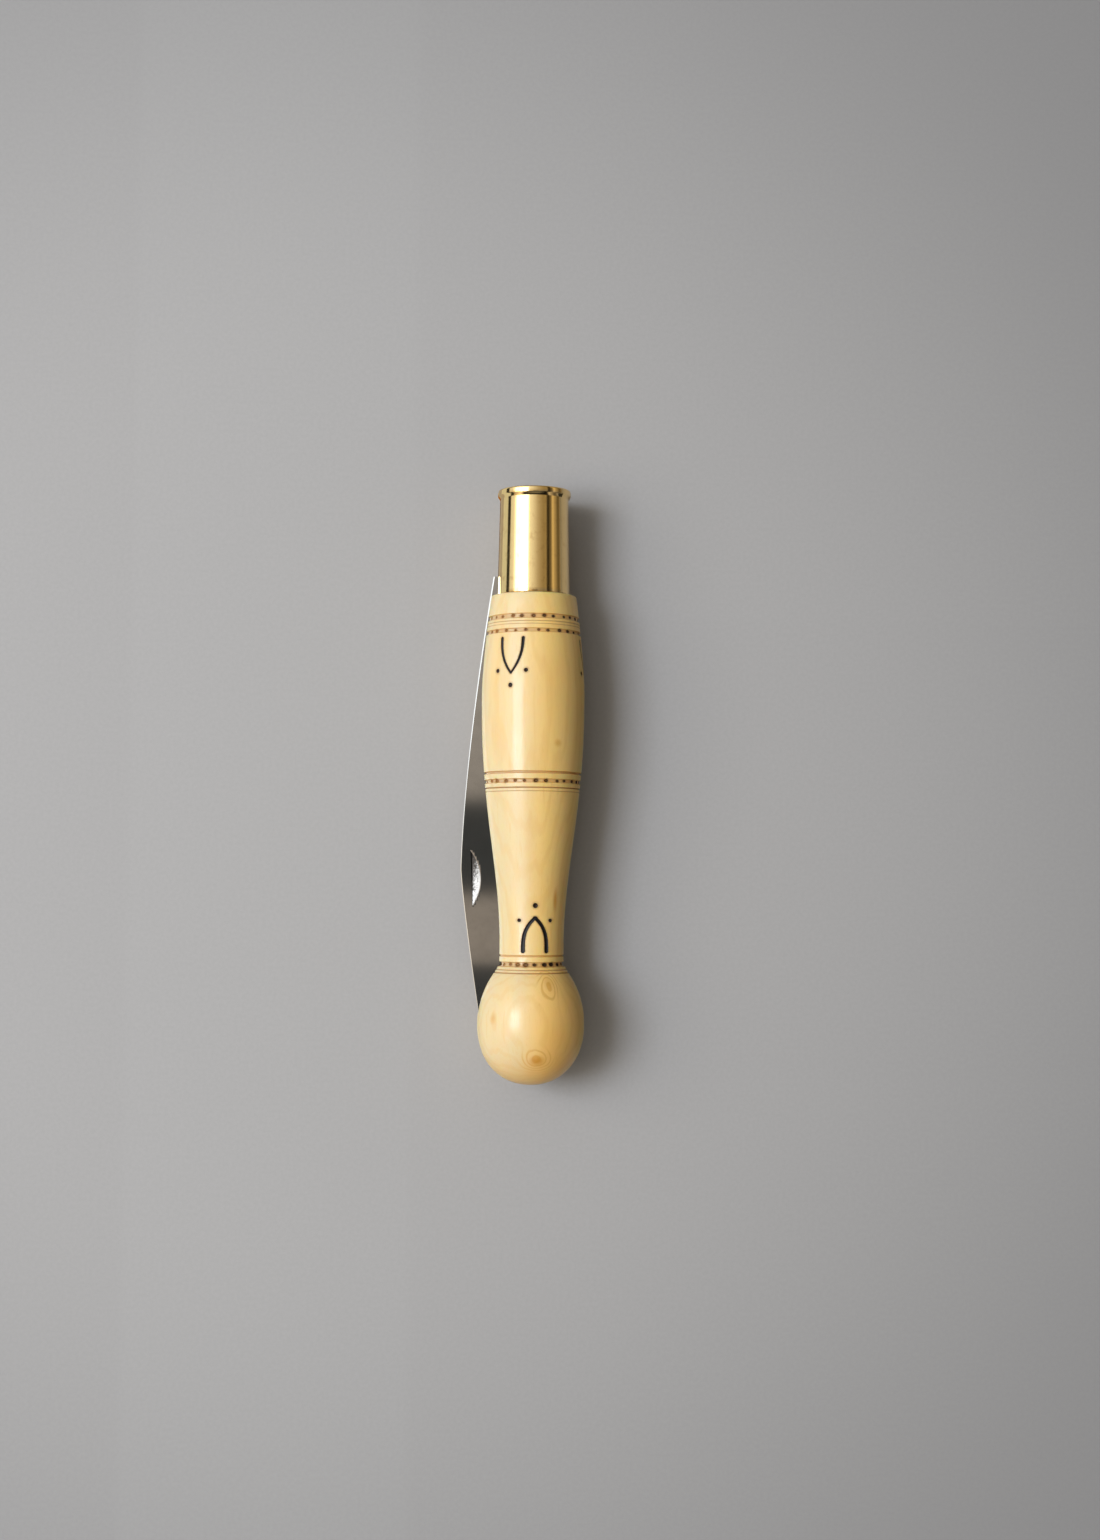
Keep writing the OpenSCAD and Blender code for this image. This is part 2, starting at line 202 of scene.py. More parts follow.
def tube(points):
    # The same with a fan to a middle point at each end
    rows, columns = points.shape[:2]
    flat = points.reshape(-1, 3)
    ends = np.stack([points[0].mean(0), points[-1].mean(0)])
    faces = gridFaces(rows, columns, True)
    a = np.arange(columns)
    b = (a + 1) % columns
    first = np.stack([b, a, np.full(columns, len(flat))], -1)
    last = (rows - 1) * columns
    final = np.stack([a + last, b + last, np.full(columns, len(flat) + 1)], -1)
    return np.concatenate([flat, ends]), faces + first.tolist() + final.tolist()


def gather(parts):
    # Several skins as one list of points and faces
    points, faces, start = [], [], 0
    for somePoints, someFaces in parts:
        points.append(somePoints)
        faces += [[index + start for index in face] for face in someFaces]
        start += len(somePoints)
    return np.concatenate(points), faces


def addObject(name, data):
    obj = bpy.data.objects.new(name, data)
    bpy.context.scene.collection.objects.link(obj)
    return obj


def makeObject(name, skin, sharp=40):
    # Object at the origin from points in millimetres, its normals outward and its edges
    # sharp above an angle in degrees
    points, faces = skin
    mesh = bpy.data.meshes.new(name)
    mesh.from_pydata((points * mm).tolist(), [], faces)
    mesh.validate()
    outward(mesh)
    finishShading(mesh, sharp)
    return addObject(name, mesh)


def outward(mesh):
    # Turns every face outward if the closed mesh's signed volume is negative
    mesh.update()
    mesh.calc_loop_triangles()
    corners = np.empty(len(mesh.loop_triangles) * 3, int)
    mesh.loop_triangles.foreach_get("vertices", corners)
    places = np.empty(len(mesh.vertices) * 3)
    mesh.vertices.foreach_get("co", places)
    a, b, c = np.moveaxis(places.reshape(-1, 3)[corners.reshape(-1, 3)], 1, 0)
    if np.einsum("ij,ij->", a, np.cross(b, c)) < 0:
        mesh.flip_normals()


def finishShading(mesh, sharp):
    # Smooth faces with sharp edges above an angle in degrees
    mesh.shade_smooth()
    mesh.set_sharp_from_angle(angle=math.radians(sharp))
    mesh.update()


def cut(obj, *cutters, sharp=40):
    # Takes closed cutters out of an object, one after another, and removes them
    for cutter in cutters:
        step = obj.modifiers.new("cut", "BOOLEAN")
        step.operation = "DIFFERENCE"
        step.solver = "MANIFOLD"
        step.object = cutter
    graph = bpy.context.evaluated_depsgraph_get()
    mesh = bpy.data.meshes.new_from_object(obj.evaluated_get(graph))
    old = obj.data
    obj.modifiers.clear()
    obj.data = mesh
    mesh.name = obj.name
    bpy.data.meshes.remove(old)
    for cutter in cutters:
        data = cutter.data
        bpy.data.objects.remove(cutter)
        bpy.data.meshes.remove(data)
    clean = bmesh.new()
    clean.from_mesh(mesh)
    bmesh.ops.remove_doubles(clean, verts=clean.verts, dist=0.00001)  # slivers of the cuts
    bmesh.ops.triangulate(clean, faces=clean.faces)
    bmesh.ops.dissolve_degenerate(clean, dist=0.000006, edges=clean.edges)
    clean.to_mesh(mesh)
    clean.free()
    finishShading(mesh, sharp)


def prism(outline, low, high):
    # Closed prism from an outline of (x, u) points between two heights z
    outline = np.asarray(outline, float)
    ring = np.stack([outline[:, 0], -outline[:, 1]], -1)
    return capped(np.stack([np.c_[ring, np.full(len(ring), z)] for z in (low, high)]))


def pit(centre, across, along, outward, sizes):
    # Closed ellipsoid round a point, with its three half sizes along three directions
    turn = np.radians(np.arange(0, 360, 30))[None, :, None]
    rise = np.radians(np.array([-80, -52, -26, 0, 26, 52, 80]))[:, None, None]
    flat = np.cos(rise)
    points = centre + sizes[0] * across * flat * np.cos(turn)
    points = points + sizes[1] * along * flat * np.sin(turn)
    return tube(points + sizes[2] * outward * np.sin(rise))


# Shader tools

class Value:
    # What a socket puts out; arithmetic on it adds Math nodes beside it
    def __init__(self, socket):
        self.socket = socket

    def __add__(self, other):
        return calc("ADD", self, other)

    def __sub__(self, other):
        return calc("SUBTRACT", self, other)

    def __rsub__(self, other):
        return calc("SUBTRACT", other, self)

    def __mul__(self, other):
        return calc("MULTIPLY", self, other)

    def __truediv__(self, other):
        return calc("DIVIDE", self, other)

    def __rtruediv__(self, other):
        return calc("DIVIDE", other, self)

    def __abs__(self):
        return calc("ABSOLUTE", self)


def wire(socket, value):
    # Links a Value to a socket, or sets the socket to a constant
    if isinstance(value, Value):
        socket.id_data.links.new(value.socket, socket)
    else:
        socket.default_value = value


def feed(sockets, values):
    # Wires several sockets, by number or name
    for label, value in values.items():
        wire(sockets[label], value)


def newNode(kind, inputs, **settings):
    # Node in the tree of its first Value, its inputs by number or name
    tree = next(value.socket.id_data for value in inputs.values() if isinstance(value, Value))
    node = tree.nodes.new(kind)
    for label, setting in settings.items():
        setattr(node, label, setting)
    feed(node.inputs, inputs)
    return node


def addNode(kind, inputs, output=0, **settings):
    # One output of a new node, by number or name
    return Value(newNode(kind, inputs, **settings).outputs[output])


def calc(operation, *values, clamp=False):
    # One Math node
    return addNode("ShaderNodeMath", dict(enumerate(values)), operation=operation, use_clamp=clamp)


def most(first, second):
    return calc("MAXIMUM", first, second)


def least(first, second):
    return calc("MINIMUM", first, second)


def hypot(first, second):
    # Length of two sides at a right angle
    return calc("SQRT", first * first + second * second)


def fade(value, low, high, start=0.0, end=1.0):
    # Smooth change from start to end as a value goes from low to high
    inputs = dict(enumerate((value, low, high, start, end)))
    return addNode("ShaderNodeMapRange", inputs, interpolation_type="SMOOTHSTEP")


def tint(factor, first, second):
    # Colour mixed from first to second
    return addNode("ShaderNodeMix", {0: factor, 6: first, 7: second}, 2, data_type="RGBA")


def scaled(vector, scale, offset=(0.0, 0.0, 0.0)):
    # Vector times a scale per axis plus an offset
    inputs = {0: vector, 1: scale, 2: offset}
    return addNode("ShaderNodeVectorMath", inputs, operation="MULTIPLY_ADD")


def length(vector):
    return addNode("ShaderNodeVectorMath", {0: vector}, "Value", operation="LENGTH")


def split(vector):
    # x, y and z of a vector
    return [Value(socket) for socket in newNode("ShaderNodeSeparateXYZ", {0: vector}).outputs]


def noise(vector, size, detail, rough=0.5, distort=0.0, shift=(0.0, 0.0, 0.0)):
    # Noise of a vector, finer for a larger size: one number, or one for each axis
    if isinstance(size, tuple):
        vector, size = scaled(vector, size, shift), 1.0
    return addNode("ShaderNodeTexNoise", {"Vector": vector, "Scale": size, "Detail": detail,
                                          "Roughness": rough, "Distortion": distort})


def bump(height, strength, distance):
    # Normal from a height
    return addNode("ShaderNodeBump",
                   {"Height": height, "Strength": strength, "Distance": distance})


def newGroup(name, inputs, outputs):
    # Node group, its sockets named in two strings; they are numbers but for two names
    tree = bpy.data.node_groups.new(name, "ShaderNodeTree")
    kinds = {"place": "NodeSocketVector", "colour": "NodeSocketColor"}
    for side, labels in (("INPUT", inputs), ("OUTPUT", outputs)):
        for label in labels.split():
            kind = kinds.get(label, "NodeSocketFloat")
            tree.interface.new_socket(label, in_out=side, socket_type=kind)
    given = tree.nodes.new("NodeGroupInput")
    result = tree.nodes.new("NodeGroupOutput")
    return tree, {socket.name: Value(socket) for socket in given.outputs}, result.inputs


def useGroup(group, **values):
    # Outputs of a node group by name, its inputs given by name
    node = newNode("ShaderNodeGroup", values, node_tree=group)
    return {socket.name: Value(socket) for socket in node.outputs}


def newMaterial(name):
    # Material with one Principled node
    material = bpy.data.materials.new(name)
    material.use_nodes = True
    tree = material.node_tree
    return material, tree, tree.nodes["Principled BSDF"].inputs


def paint(obj, material):
    obj.data.materials.clear()
    obj.data.materials.append(material)


def objectPlace(tree):
    # Object coordinates in millimetres
    node = tree.nodes.new("ShaderNodeTexCoord")
    return scaled(Value(node.outputs["Object"]), (1000, 1000, 1000))


def lightPath(tree, label):
    return Value(tree.nodes.new("ShaderNodeLightPath").outputs[label])


def mixShader(tree, factor, first, second):
    # Two shader nodes mixed by a factor
    node = tree.nodes.new("ShaderNodeMixShader")
    wire(node.inputs[0], factor)
    tree.links.new(first.outputs[0], node.inputs[1])
    tree.links.new(second.outputs[0], node.inputs[2])
    return node


def angleRound(x, z):
    # Angle round the handle's axis from straight up, in radians
    return calc("ARCTAN2", x, z)


# Camera: square to the middle of the knife, a little to its left and towards its ball

camera = {
    "distance": 433.0,
    "lens": 50.0,
    "aimU": 56.8,
    "aimRight": 3.56,
    "left": 4.0,
    "down": 3.1,
    "roll": 0.385,
}


def makeCamera(values):
    left, down, roll = (math.radians(values[key]) for key in ("left", "down", "roll"))
    back = Vector((-math.sin(left) * math.cos(down), -math.sin(down),
                   math.cos(left) * math.cos(down)))
    level = Vector((math.cos(left), 0, math.sin(left)))
    above = back.cross(level)
    right = level * math.cos(roll) + above * math.sin(roll)
    top = above * math.cos(roll) - level * math.sin(roll)
    target = Vector((0, -values["aimU"], 0)) + level * values["aimRight"]
    data = bpy.data.cameras.new("camera")
    data.lens = values["lens"]
    data.sensor_width = 36
    data.sensor_fit = "AUTO"
    data.clip_start = 0.01
    data.clip_end = 50
    obj = addObject("camera", data)
    turn = Matrix((right, top, back)).transposed()
    spot = Matrix.Translation((target + back * values["distance"]) * mm)
    obj.matrix_world = spot @ turn.to_4x4()
    bpy.context.scene.camera = obj


makeCamera(camera)
bpy.context.scene.view_settings.view_transform = "Standard"
print("camera set")


# Studio: pale paper, one long softbox at the left, and cards that only reflections see

studio = {
    "paper": rgb(170, 168, 166),
    "paperLow": rgb(169, 168, 167),
    "paperHigh": rgb(173, 172, 171),
    "paperShadeEdge": rgb(130, 130, 131),
    "paperFade": (270.0, 640.0),
    "floorSide": 4000,
    "lamps": {
        "softbox": {"rise": (24.0, 69.0), "away": 1100.0, "long": 850.0, "mid": -15.0,
                    "power": 5.8, "colour": (1.1, 1.01, 0.88)},
        "softboxHeart": {"rise": (42.0, 64.0), "away": 1150.0, "long": 440.0, "mid": 0.0,
                         "power": 7.0, "colour": (0.87, 0.97, 1.14)},
    },
    "ambient": 0.06,
    "shone": 0.2,
    "tentR": 1600.0,
    "tentLong": 2500.0,
    "tentFill": (0.34, 0.66, 0.22),
    "tentFar": 0.75,
    "tentCool": (0.97, 1.0, 1.04, 1),
    "tentWarm": (1.0, 0.82, 0.5, 1),
    "tentPast": (1.0, 0.9, 0.78, 1),
    "tentLight": (1.0, 0.94, 0.86, 1),
    # Cards as two x and two u
    "cameraCard": (-60.0, 70.0, 45.0, 89.5),
    "backCard": (-60.0, 70.0, 114.0, 190.0),
    "nearCard": (-82.0, -24.0, -200.0, 300.0),
    "endCard": (-3000.0, -82.0, -2000.0, 2000.0),
    "shadeCard": (18.0, 160.0, 24.0, 120.0),
    "cardTint": (0.93, 1.0, 1.0, 1),
    "cameraCardZ": 431.0,
    "cameraCardFade": 6.5,
    "cameraGlow": 0.09,
    "nearGlow": 0.76,
    "dimGlow": 0.03,
}
# Brightness of the tent by angle from straight up, as (angle, radiance)
tentSteps = [
    (-92, 0.03), (-88.5, 0.03), (-87, 0.9), (-80, 0.93), (-73, 1.0), (-71, 1.5), (-63, 1.6),
    (-22, 1.15), (-11, 1.0), (-1, 0.78),
    (8, 0.56), (18, 0.43), (28, 0.33), (33, 0.36), (37, 0.36), (39, 0.06), (45, 0.03), (48, 0.12),
    (54, 0.2), (57, 0.55), (60.5, 0.82), (63, 0.66), (67, 0.46), (72, 0.36), (77, 0.2), (82, 0.11),
    (87, 0.2), (96, 0.3),
]


def unseen(obj, lights=False):
    # A card that shows in reflections only, or one that also lights what is round it
    for ray in ("camera", "shadow", "transmission", "volume_scatter"):
        setattr(obj, "visible_" + ray, False)
    obj.visible_diffuse = lights


def emitter(name, radiance, colour, cover=None):
    # Material that only shines; cover says where it hides what is behind it
    material, tree, _ = newMaterial(name)
    tree.nodes.remove(tree.nodes["Principled BSDF"])
    shine = tree.nodes.new("ShaderNodeEmission")
    wire(shine.inputs["Strength"], radiance(tree) if callable(radiance) else radiance)
    wire(shine.inputs["Color"], colour(tree) if callable(colour) else colour)
    if cover:
        clear = tree.nodes.new("ShaderNodeBsdfTransparent")
        shine = mixShader(tree, cover(tree), clear, shine)
    tree.links.new(shine.outputs[0], tree.nodes["Material Output"].inputs[0])
    return material


def tentParts(tree):
    # A place on the tent: its angle from straight up and its y, and if a reflection asks
    x, y, z = split(objectPlace(tree))
    return angleRound(x, z), y, lightPath(tree, "Is Glossy Ray")


def tentColour(tree):
    # Reflected, the tent is cool at the left and warm at the right, and warmer past the
    # ball; the light it gives is a little warm
    angle, y, glossy = tentParts(tree)
    colour = tint(fade(angle, -0.3, 0.55), studio["tentCool"], studio["tentWarm"])
    colour = tint(fade(y, 200.0, -150.0), colour, studio["tentPast"])
    return tint(glossy, studio["tentLight"], colour)


def rampPlace(halfTurns):
    # Place of an angle on the tent's ramp, which leaves a tenth free at each end
    return (halfTurns + 0.5) * 0.8 + 0.1


def tentShine(tree):
    # Radiance of the tent: steps by angle, and in reflections dim past the ball, dark past
    # the softbox's end, and pale again low down at the sides
    angle, y, glossy = tentParts(tree)
    ramp = tree.nodes.new("ShaderNodeValToRGB")
    wire(ramp.inputs[0], rampPlace(angle * (1 / math.pi)))
    stops = ramp.color_ramp.elements
    while len(stops) > 1:
        stops.remove(stops[-1])
    for index, (degrees, level) in enumerate(tentSteps):
        where = rampPlace(degrees / 180)
        stop = stops[0] if index == 0 else stops.new(where)
        stop.position = where
        stop.color = (level, level, level, 1)
    seen = (fade(y, -120.0, 260.0, studio["tentFar"], 1.0)
            * fade(y, -620.0, -330.0, 0.06, 1.0))
    seen = most(seen, fade(y, -800.0, -1200.0) * fade(abs(angle), 0.85, 1.1, 0.0, 0.9))
    left, middle, right = studio["tentFill"]
    fill = least(fade(angle, -0.6, -0.15, left, middle), fade(angle, 0.3, 0.6, middle, right))
    return Value(ramp.outputs[0]) * (glossy * (seen - fill) + fill)


def cameraFade(tree):
    # The camera card's soft edges towards the ferrule and the ball
    y = split(objectPlace(tree))[1]
    first, last = (-u for u in studio["cameraCard"][2:])
    soft = studio["cameraCardFade"]
    return fade(y, first, first - soft) * fade(y, last, last + soft)


def openSheet(name, points, faces, material):
    # Studio surface from points in millimetres
    mesh = bpy.data.meshes.new(name)
    points = np.array(points, float).reshape(-1, 3)
    mesh.from_pydata((points * mm).tolist(), [], faces)
    mesh.materials.append(material)
    return addObject(name, mesh)


def levelSheet(name, x0, x1, u0, u1, z, material):
    # Level rectangle between two x and two u at a height z
    corners = [[x0, -u0, z], [x1, -u0, z], [x1, -u1, z], [x0, -u1, z]]
    return openSheet(name, corners, [[0, 1, 2, 3]], material)


def levelCard(name, reach, z, radiance, cover=None):
    # Level shining card that shows in reflections only
    card = levelSheet(name, *reach, z, emitter(name, radiance, studio["cardTint"], cover))
    unseen(card)
    return card


def makeLamp(name, values):
    # Rectangular lamp at the left between two heights in degrees, facing the knife
    low, high = values["rise"]
    mid = math.radians((low + high) / 2)
    data = bpy.data.lights.new(name, "AREA")
    data.shape = "RECTANGLE"
    data.size = values["long"] * mm
    data.size_y = 2 * values["away"] * math.tan(math.radians((high - low) / 2)) * mm
    data.energy = values["power"]
    data.color = values["colour"]
    toward = Vector((-math.cos(mid), 0, math.sin(mid)))
    along = Vector((0, 1, 0))
    turn = Matrix((along, toward.cross(along), toward)).transposed()
    spot = toward * values["away"] + Vector((0, values["mid"], 0))
    lamp = addObject(name, data)
    lamp.matrix_world = Matrix.Translation(spot * mm) @ turn.to_4x4()
    lamp.visible_camera = False


def paperMaterial(values):
    # Pale paper with painted shade that darkens it away from a point left of the knife, most
    # towards the right; far from the knife it shows the backdrop's colour to the camera and in
    # metal
    material, tree, sockets = newMaterial("paper")
    place = objectPlace(tree)
    fibre = noise(place, 1.3, 6.0, 0.65)
    colour = tint(fade(fibre, 0.3, 0.7), values["paperLow"], values["paperHigh"])
    # Painted shade: the paper darkens with distance from a point left of the knife's middle
    away = length(scaled(place, (0.006, 0.006, 0.0), (0.24, 0.36, 0.0)))
    colour = tint(fade(away, 0.5, 1.45, 0.0, 0.6), colour, values["paperShadeEdge"])
    feed(sockets, {"Base Color": colour, "Normal": bump(fibre, 0.15, 0.00004),
                   "Roughness": 0.85, "Specular IOR Level": 0.2})
    away = length(scaled(place, (1.0, 1.0, 0.0), (0.0, 60.0, 0.0)))
    seen = most(lightPath(tree, "Is Camera Ray"), lightPath(tree, "Is Glossy Ray"))
    shine = tree.nodes.new("ShaderNodeEmission")
    wire(shine.inputs["Color"], values["paper"])
    far = fade(away, *values["paperFade"]) * seen
    blend = mixShader(tree, far, tree.nodes["Principled BSDF"], shine)
    tree.links.new(blend.outputs[0], tree.nodes["Material Output"].inputs[0])
    return material


def makeWorld(values):
    # The camera sees the paper's colour, reflections a dim one, and the rest the ambient
    world = bpy.data.worlds.new("world")
    world.use_nodes = True
    bpy.context.scene.world = world
    tree = world.node_tree
    shine = tree.nodes["Background"].inputs
    ambient, shone = ((level, level, level, 1) for level in (values["ambient"], values["shone"]))
    colour = tint(lightPath(tree, "Is Glossy Ray"), ambient, shone)
    wire(shine["Color"], tint(lightPath(tree, "Is Camera Ray"), colour, values["paper"]))
    wire(shine["Strength"], 1.0)


def makeStudio(values):
    floorZ = cadBox[0][2] / mm
    side = values["floorSide"]
    floor = levelSheet("floor", -side, side, side, -side, floorZ, paperMaterial(values))
    for name, lamp in values["lamps"].items():
        makeLamp(name, lamp)

    angle = np.arange(-92, 97, 4)[None, :]
    middle, half = camera["aimU"], values["tentLong"]
    shell = around(values["tentR"], np.array([[middle - half], [middle + half]]), angle)
    tentPaint = emitter("tent", tentShine, tentColour)
    tent = openSheet("tent", shell, gridFaces(2, angle.size, False), tentPaint)
    unseen(tent, lights=True)

    high, low = values["cameraCardZ"], floorZ + 0.3
    glow, dim = values["cameraGlow"], values["dimGlow"]
    cards = [
        levelCard("cameraCard", values["cameraCard"], high, glow, cameraFade),
        levelCard("backCard", values["backCard"], high, glow),
        levelCard("nearPaper", values["nearCard"], low, values["nearGlow"]),
        levelCard("paperEnd", values["endCard"], low, dim),
        levelCard("shadePaper", values["shadeCard"], low, dim),
    ]
    makeWorld(values)


makeStudio(studio)
print("studio set")


# Handle: a turned boxwood grip with a slot for the blade, grooves and burnt ornament

handle = {
    "columns": 144,
    "bodyStep": 0.8,
    "grooveStep": 0.05,
    "slotHalf": 1.2,
    "pale": rgb(223, 203, 158),
    "shadedGold": rgb(250, 212, 133),
    "dark": rgb(242, 197, 110),
    "vein": rgb(218, 166, 80),
    "knot": rgb(208, 140, 32),
    "amber": rgb(232, 176, 84),
    "scorch": rgb(160, 108, 54),
    "litMarkBrown": rgb(146, 102, 48),
    "shadedMarkBrown": rgb(78, 50, 24),
    "dotBrown": rgb(58, 34, 18),
    "char": rgb(22, 17, 16),
    "sheenGrey": rgb(64, 66, 72),
    "roughness": 0.45,
    "glow": 0.5,
}


def handleRows(values):
    # Distances u of the lathe's rows: even steps, and fine ones across every groove
    shoulder = form["neckLen"]
    evenly = np.arange(shoulder + 1.2, form["ballU"], values["bodyStep"])
    cap = form["ballU"] + form["ballCap"] * np.sin(np.radians(np.arange(0, 89.6, 3)))
    fine = [np.arange(c - w / 2 - 0.12, c + w / 2 + 0.13, values["grooveStep"])
            for c, w, _ in grooves]
    inGroove = np.zeros(evenly.shape, bool)
    for centre, width, _ in grooves:
        inGroove |= np.abs(evenly - centre) < width / 2 + 0.2
    rows = np.concatenate([evenly[~inGroove], cap, *fine])
    rows = np.unique(np.round(rows, 3))
    return rows[np.r_[True, np.diff(rows) > 0.02]]


def handleSkin(values):
    # Lathe: rings along u at the outline's radius less the grooves' depth, from the neck's
    # tip over the rounded shoulder to the ball's pole
    shoulder, soft = form["neckLen"], form["shoulderRound"]
    top = turningR(shoulder) + form["shoulderStep"]
    neck = np.array([form["tipRecess"], 4, 8, 12, 16, 20, shoulder])
    turn = np.radians(np.arange(-90, 1, 15))
    lip = shoulder + soft + soft * np.sin(turn)
    rows = handleRows(values)
    u = np.concatenate([neck, lip, rows])
    r = np.concatenate([neckR(neck), top - soft + soft * np.cos(turn),
                        bodyR(rows) - grooveDepth(rows)])
    angle = np.arange(values["columns"])[None, :] * 360 / values["columns"]
    return tube(around(r[:, None], u[:, None], angle))


def slotOutline():
    # Slot seen along z: from the neck's shallow floor down under the edge and out along
    # the saw's arc in the ball
    neckFloor, edgeFloor = 4.85, 5.4
    arcU, exitU = 68.1, 113.55
    exitX = bodyAt(exitU)
    saw = ((exitU - arcU) ** 2 + (exitX + edgeFloor) ** 2) / (2 * (exitX + edgeFloor))
    u = np.linspace(arcU, exitU, 40)
    x = edgeFloor - saw + np.sqrt(saw * saw - (u - arcU) ** 2)
    neck = [(-40, -1), (neckFloor, -1), (neckFloor, 22), (edgeFloor, 34.6)]
    return [*neck, *zip(x, u), (-40, exitU)]


def motifPoint(arch, turn, x, along):
    # Point on the wood x to the side of a motif's middle line and along from its apex
    # towards its open end, with the directions across, along and outward there
    u = arch["apex"] + arch["opens"] * along
    radius = bodyR(u)
    angle = turn + np.degrees(np.arcsin(x / radius))
    slope = (bodyR(u + 0.05) - bodyR(u - 0.05)) / 0.1
    out = around(1.0, 0.0 * u, angle)
    across = around(1.0, 0.0 * u, angle + 90)
    down = out * slope[..., None] + np.array([0, -1.0, 0])
    down /= np.linalg.norm(down, axis=-1, keepdims=True)
    return around(radius, u, angle), across, down, np.cross(down, across)


def strokeSkin(arch, turn, side):
    # Half of an arch as a round-bottomed stroke: ellipses swept along the curve
    # x = half * (1 - (1 - t) ^ bow), thicker at the open end and rounded at both ends
    t = np.linspace(0, 1, 30) ** 1.3
    x = side * arch["half"] * (1 - (1 - t) ** arch["bow"])
    centre, _, _, out = motifPoint(arch, turn, x, t * arch["len"])
    path = np.gradient(centre, axis=0)
    path /= np.linalg.norm(path, axis=-1, keepdims=True)
    sideways = np.cross(out, path)
    wide = arch["thin"] + (arch["thick"] - arch["thin"]) * t
    before = centre[:1] - path[:1] * wide[0]
    after = centre[-1:] + path[-1:] * wide[-1]
    lead = np.array([0.0, 0.3, 0.75])[:, None]
    centre = np.concatenate([before + (centre[:1] - before) * lead, centre,
                             centre[-1:] + (after - centre[-1:]) * (1 - lead[::-1])])
    grow = np.concatenate([[0.12, 0.7, 0.95], np.ones(len(t)), [0.95, 0.7, 0.12]])
    wide, sideways, out = (np.concatenate([rows[:1]] * 3 + [rows] + [rows[-1:]] * 3)
                           for rows in (wide, sideways, out))
    wide = wide * grow
    ring = np.radians(np.arange(0, 360, 30))[None, :, None]
    deep = 0.26 * grow[:, None, None]
    return tube(centre[:, None] + sideways[:, None] * wide[:, None, None] * np.cos(ring)
                + out[:, None] * deep * np.sin(ring))


def archTurns(arch):
    return [arch["first"] + arch["turn"] * k for k in range(arch["count"])]


def dotSkins():
    # Pits of the three dots round every arch's apex
    skins = []
    for arch in arches.values():
        spots = [(-sideDotOff, sideDotIn, arch["dot"]), (sideDotOff, sideDotIn, arch["dot"]),
                 (0.0, -tipDotOut, arch["tipDot"])]
        for turn in archTurns(arch):
            for x, along, size in spots:
                centre, across, down, out = motifPoint(arch, turn, np.array(x), np.array(along))
                skins.append(pit(centre, across, down, out, (size, size, 0.28)))
    return skins


def markWobble(index, phase, sine):
    # Irregularity of a mark by its number: angle in degrees, shift along u, and size; for
    # numbers and for Values alike
    return (sine(index * 2.4 + phase) * 1.3, sine(index * 4.1 + phase * 1.7) * 0.05,
            sine(index * 1.3 + phase * 2.3) * 0.18 + 1.0)


def markSkins(row):
    # Pits pressed into a groove's floor, one per mark
    skins = []
    floor = bodyAt(row["rowU"]) - float(grooveDepth(np.array([row["rowU"]]))[0])
    for index in range(row["count"]):
        turn, shift, size = markWobble(index, row["phase"], math.sin)
        angle = row["first"] + index * 360 / row["count"] + turn
        centre = around(floor, row["rowU"] + shift, angle)
        out = around(1.0, 0.0, angle)
        skins.append(pit(centre, around(1.0, 0.0, angle + 90), np.array([0, -1.0, 0]), out,
                         (row["w"] * size, row["l"] * size, row["depth"])))
    return skins


def barSkin(radius, half):
    # Closed cylinder along z round the pivot
    turn = np.radians(np.arange(0, 360, 7.5))[None, :]
    z = np.array([-half, half])[:, None]
    return tube(np.stack(np.broadcast_arrays(
        form["pivotX"] + radius * np.cos(turn), -form["pivotU"] + radius * np.sin(turn), z), -1))


def markGroup():
    # Distance from the nearest mark's middle, in half sizes, and its tone
    tree, given, result = newGroup(
        "markRow", "angle radius u rowU count first phase w l", "reach tone")
    phase = given["phase"]
    gap = 360.0 / given["count"]
    steps = (given["angle"] - given["first"]) / gap
    whole = calc("ROUND", steps)
    index = calc("FLOORED_MODULO", whole, given["count"])
    turn, shift, size = markWobble(index, phase, lambda angle: calc("SINE", angle))
    across = ((steps - whole) * gap - turn) * (math.pi / 180) * given["radius"]
    along = given["u"] - given["rowU"] - shift
    reach = hypot(across / (given["w"] * size), along / (given["l"] * size))
    wire(result["reach"], reach)
    wire(result["tone"], calc("SINE", index * 5.7 + phase) * 0.5 + 0.5)
    return tree


def archGroup():
    # Distance in millimetres beyond the edge of the nearest arch's stroke, the same for its
    # dots, and the distance to the side of the arch's middle line
    tree, given, result = newGroup(
        "burntArch",
        "angle radius u apex opens first turn count len half bow thin thick dot tipDot",
        "stroke dots side")
    half, bow = given["half"], given["bow"]
    steps = given["angle"] - given["first"] + given["turn"] * 0.5
    steps = calc("FLOORED_MODULO", steps, 360.0) / given["turn"] - 0.5
    nearest = least(calc("ROUND", steps), given["count"] - 1.0)
    off = (steps - nearest) * given["turn"] * (math.pi / 180)
    signed = given["radius"] * calc("SINE", off)
    side = abs(signed)
    along = (given["u"] - given["apex"]) * given["opens"]
    t = along / given["len"]
    inside = calc("MULTIPLY", t, 1.0, clamp=True)
    rest = 1.0 - inside
    reach = half * (1.0 - calc("POWER", rest, bow))
    slope = half * bow * calc("POWER", rest, bow - 1.0) / given["len"]
    gap = (side - reach) / calc("SQRT", slope * slope + 1.0)
    away = hypot(gap, (t - inside) * given["len"])
    wide = inside * (given["thick"] - given["thin"]) + given["thin"]
    wire(result["stroke"], away - wide)
    wire(result["side"], signed)
    sideGap = hypot(side - sideDotOff, along - sideDotIn)
    tipGap = hypot(side, along + tipDotOut)
    wire(result["dots"], least(sideGap - given["dot"], tipGap - given["tipDot"]))
    return tree


